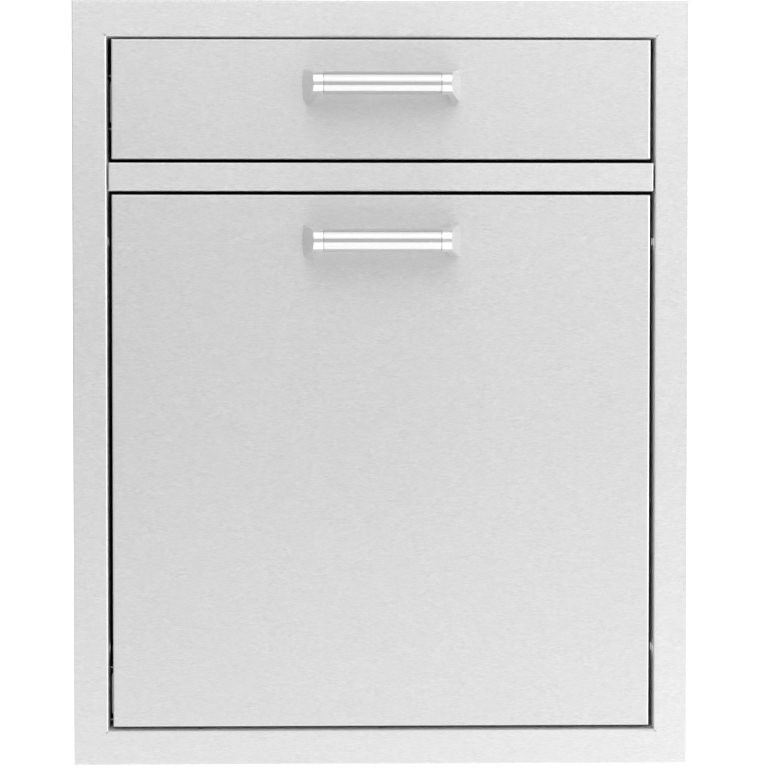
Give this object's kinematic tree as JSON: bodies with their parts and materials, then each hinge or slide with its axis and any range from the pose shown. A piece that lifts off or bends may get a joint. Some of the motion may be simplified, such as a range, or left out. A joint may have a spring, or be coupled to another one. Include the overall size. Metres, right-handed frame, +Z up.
{
  "type": "built-in drawer and waste bin pull-out unit",
  "caption": "Built-in outdoor kitchen unit in brushed stainless steel: a shallow drawer above a tall pull-out that carries waste bins, flush in a flanged face frame, with bar handles.",
  "frame": {"origin": "middle of the face frame's bottom edge, on the plane of the flange's back, which lies against the island's front", "axes": "+X to the right seen from the front, the fronts and handles face -Y, +Z up"},
  "size_m": [0.508, 0.5665, 0.63],
  "materials": {
    "stainless": "fine horizontal brushed grain",
    "cabinet_sheet": "plain mill finish",
    "handle_steel": "polished, with a very fine grain along the bar",
    "slide_steel": "bright zinc plate",
    "cage_steel": "thin plated sheet with polished balls",
    "rivets": "satin",
    "lever_plastic": "moulded, matt",
    "bumper_rubber": "matt",
    "bin_plastic": "fine moulded texture"
  },
  "bodies": {
    "cabinet": {"face_frame": "stainless", "mid_rail": "stainless", "cabinet_left_side": "cabinet_sheet", "cabinet_right_side": "cabinet_sheet", "cabinet_top": "cabinet_sheet", "cabinet_bottom": "cabinet_sheet", "cabinet_back": "cabinet_sheet", "divider_shelf": "cabinet_sheet", "cabinet_rivets": "rivets", "outer_slide_rivets": "rivets", "slide_bumpers": "bumper_rubber", "drawer_left_outer_slide": "slide_steel", "drawer_right_outer_slide": "slide_steel", "pullout_left_outer_slide": "slide_steel", "pullout_right_outer_slide": "slide_steel"},
    "drawer_middle_slides": {"drawer_left_middle_slide": "slide_steel", "drawer_right_middle_slide": "slide_steel"},
    "drawer": {"drawer_left_inner_slide": "slide_steel", "drawer_right_inner_slide": "slide_steel", "drawer_front_skin": "stainless", "drawer_front_liner": "cabinet_sheet", "drawer_handle_bar": "handle_steel", "drawer_handle_ends": "handle_steel", "drawer_handle_screws": "rivets", "drawer_rivets": "rivets", "drawer_lever_pins": "rivets", "drawer_left_side": "cabinet_sheet", "drawer_right_side": "cabinet_sheet", "drawer_back": "cabinet_sheet", "drawer_bottom": "cabinet_sheet"},
    "drawer_left_lever": {"drawer_left_release_lever": "lever_plastic"},
    "drawer_right_lever": {"drawer_right_release_lever": "lever_plastic"},
    "drawer_outer_cages": {"drawer_outer_ball_cages": "cage_steel"},
    "drawer_inner_cages": {"drawer_inner_ball_cages": "cage_steel"},
    "pullout_middle_slides": {"pullout_left_middle_slide": "slide_steel", "pullout_right_middle_slide": "slide_steel"},
    "pullout": {"pullout_left_inner_slide": "slide_steel", "pullout_right_inner_slide": "slide_steel", "pullout_front_skin": "stainless", "pullout_front_liner": "cabinet_sheet", "pullout_handle_bar": "handle_steel", "pullout_handle_ends": "handle_steel", "pullout_handle_screws": "rivets", "pullout_rivets": "rivets", "pullout_lever_pins": "rivets", "tray_left_side": "cabinet_sheet", "tray_right_side": "cabinet_sheet", "tray_back": "cabinet_sheet", "tray_base": "cabinet_sheet", "left_gusset": "cabinet_sheet", "right_gusset": "cabinet_sheet"},
    "pullout_left_lever": {"pullout_left_release_lever": "lever_plastic"},
    "pullout_right_lever": {"pullout_right_release_lever": "lever_plastic"},
    "pullout_outer_cages": {"pullout_outer_ball_cages": "cage_steel"},
    "pullout_inner_cages": {"pullout_inner_ball_cages": "cage_steel"},
    "front_bin": {"front_bin": "bin_plastic"},
    "rear_bin": {"rear_bin": "bin_plastic"}
  },
  "joints": [
    {"name": "drawer_slide", "type": "slide", "parent": "cabinet", "child": "drawer", "axis": [0, -1, 0], "range_m": [0, 0.44]},
    {"name": "drawer_middle_slide", "type": "slide", "parent": "cabinet", "child": "drawer_middle_slides", "axis": [0, -1, 0], "range_m": [0, 0.22]},
    {"name": "drawer_outer_cage_slide", "type": "slide", "parent": "cabinet", "child": "drawer_outer_cages", "axis": [0, -1, 0], "range_m": [0, 0.11]},
    {"name": "drawer_inner_cage_slide", "type": "slide", "parent": "cabinet", "child": "drawer_inner_cages", "axis": [0, -1, 0], "range_m": [0, 0.33]},
    {"name": "drawer_left_lever_press", "type": "hinge", "parent": "drawer", "child": "drawer_left_lever", "pos_m": [-0.2175, 0.205, 0.548], "axis": [1, 0, 0], "range_deg": [0, 5], "stiffness_Nm_per_rad": 0.02, "springref_deg": -5.73},
    {"name": "drawer_right_lever_press", "type": "hinge", "parent": "drawer", "child": "drawer_right_lever", "pos_m": [0.2175, 0.205, 0.548], "axis": [-1, 0, 0], "range_deg": [0, 5], "stiffness_Nm_per_rad": 0.02, "springref_deg": -5.73},
    {"name": "pullout_slide", "type": "slide", "parent": "cabinet", "child": "pullout", "axis": [0, -1, 0], "range_m": [0, 0.44]},
    {"name": "pullout_middle_slide", "type": "slide", "parent": "cabinet", "child": "pullout_middle_slides", "axis": [0, -1, 0], "range_m": [0, 0.22]},
    {"name": "pullout_outer_cage_slide", "type": "slide", "parent": "cabinet", "child": "pullout_outer_cages", "axis": [0, -1, 0], "range_m": [0, 0.11]},
    {"name": "pullout_inner_cage_slide", "type": "slide", "parent": "cabinet", "child": "pullout_inner_cages", "axis": [0, -1, 0], "range_m": [0, 0.33]},
    {"name": "pullout_left_lever_press", "type": "hinge", "parent": "pullout", "child": "pullout_left_lever", "pos_m": [-0.2175, 0.205, 0.0555], "axis": [1, 0, 0], "range_deg": [0, 5], "stiffness_Nm_per_rad": 0.02, "springref_deg": -5.73},
    {"name": "pullout_right_lever_press", "type": "hinge", "parent": "pullout", "child": "pullout_right_lever", "pos_m": [0.2175, 0.205, 0.0555], "axis": [-1, 0, 0], "range_deg": [0, 5], "stiffness_Nm_per_rad": 0.02, "springref_deg": -5.73},
    {"name": "front_bin_lift", "type": "slide", "parent": "pullout", "child": "front_bin", "axis": [0, 0, 1], "range_m": [0, 0.035]},
    {"name": "rear_bin_lift", "type": "slide", "parent": "pullout", "child": "rear_bin", "axis": [0, 0, 1], "range_m": [0, 0.035]}
  ],
  "couplings": [
    {"joint": "drawer_middle_slide", "follows": "drawer_slide", "ratio": 0.5},
    {"joint": "drawer_outer_cage_slide", "follows": "drawer_slide", "ratio": 0.25},
    {"joint": "drawer_inner_cage_slide", "follows": "drawer_slide", "ratio": 0.75},
    {"joint": "pullout_middle_slide", "follows": "pullout_slide", "ratio": 0.5},
    {"joint": "pullout_outer_cage_slide", "follows": "pullout_slide", "ratio": 0.25},
    {"joint": "pullout_inner_cage_slide", "follows": "pullout_slide", "ratio": 0.75}
  ]
}
